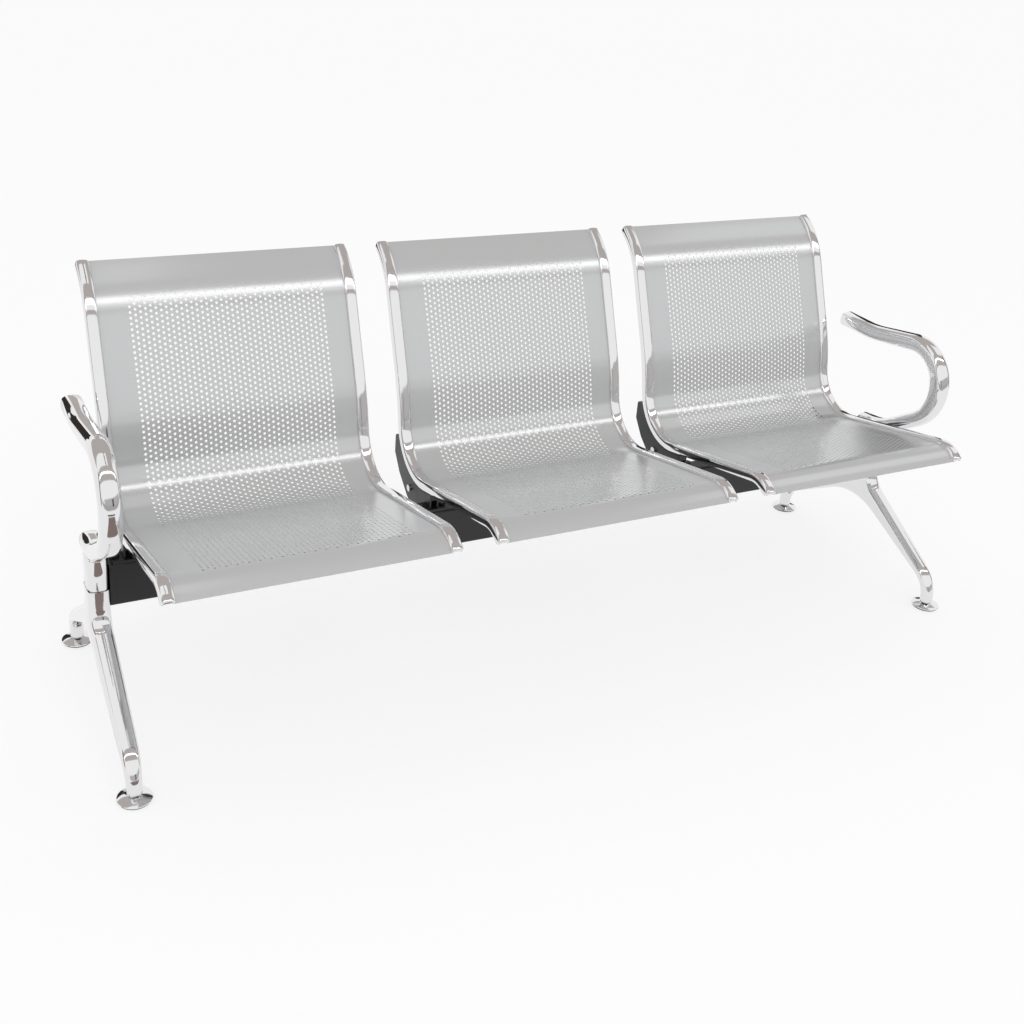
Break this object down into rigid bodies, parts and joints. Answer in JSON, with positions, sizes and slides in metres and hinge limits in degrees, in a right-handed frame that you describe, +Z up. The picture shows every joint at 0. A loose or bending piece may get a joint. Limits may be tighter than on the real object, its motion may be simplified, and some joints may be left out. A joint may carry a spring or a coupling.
{
  "type": "beam seating",
  "caption": "Beam seating: curved perforated metal seats with bright side frames on one black box beam, with arched legs, C-shaped arms and levelling feet at both ends.",
  "frame": {"origin": "on the floor under the middle of the beam, at the centre of the bounding box", "axes": "+X along the beam, +Y towards the back of the seats, +Z up"},
  "size_m": [1.82, 0.6182, 0.7679],
  "materials": {
    "silver_sheet": "silver grey powder coat, satin, on perforated sheet",
    "chrome_frame": "bright plated",
    "bright_casting": "polished and plated casting",
    "chrome_disc": "bright plated pressed disc",
    "black_steel": "black powder coat, satin",
    "black_plastic": "matt black plug",
    "black_rubber": "dark moulded sole",
    "zinc_steel": "bright zinc plate"
  },
  "bodies": {
    "bench": {"arm_cap_left": "black_plastic", "arm_cap_right": "black_plastic", "arm_left": "bright_casting", "arm_right": "bright_casting", "beam": "black_steel", "beam_end_bolts": "zinc_steel", "column_left": "bright_casting", "column_right": "bright_casting", "cross_bolts": "zinc_steel", "cross_nuts": "zinc_steel", "flange_bolts": "zinc_steel", "frame_screws": "zinc_steel", "leg_left": "bright_casting", "leg_right": "bright_casting", "seat_bracket_1_left": "black_steel", "seat_bracket_1_right": "black_steel", "seat_bracket_2_left": "black_steel", "seat_bracket_2_right": "black_steel", "seat_bracket_3_left": "black_steel", "seat_bracket_3_right": "black_steel", "seat_shell_1": "silver_sheet", "seat_shell_2": "silver_sheet", "seat_shell_3": "silver_sheet", "side_frame_1_left": "chrome_frame", "side_frame_1_right": "chrome_frame", "side_frame_2_left": "chrome_frame", "side_frame_2_right": "chrome_frame", "side_frame_3_left": "chrome_frame", "side_frame_3_right": "chrome_frame", "tie_bolts": "zinc_steel"},
    "foot_front_left": {"foot_disc_front_left": "chrome_disc", "foot_sole_front_left": "black_rubber", "foot_stem_front_left": "zinc_steel"},
    "foot_rear_left": {"foot_disc_rear_left": "chrome_disc", "foot_sole_rear_left": "black_rubber", "foot_stem_rear_left": "zinc_steel"},
    "foot_front_right": {"foot_disc_front_right": "chrome_disc", "foot_sole_front_right": "black_rubber", "foot_stem_front_right": "zinc_steel"},
    "foot_rear_right": {"foot_disc_rear_right": "chrome_disc", "foot_sole_rear_right": "black_rubber", "foot_stem_rear_right": "zinc_steel"}
  },
  "joints": [
    {"name": "foot_height_front_left", "type": "slide", "parent": "bench", "child": "foot_front_left", "axis": [0, 0, -1], "range_m": [0, 0.015]},
    {"name": "foot_height_rear_left", "type": "slide", "parent": "bench", "child": "foot_rear_left", "axis": [0, 0, -1], "range_m": [0, 0.015]},
    {"name": "foot_height_front_right", "type": "slide", "parent": "bench", "child": "foot_front_right", "axis": [0, 0, -1], "range_m": [0, 0.015]},
    {"name": "foot_height_rear_right", "type": "slide", "parent": "bench", "child": "foot_rear_right", "axis": [0, 0, -1], "range_m": [0, 0.015]}
  ]
}
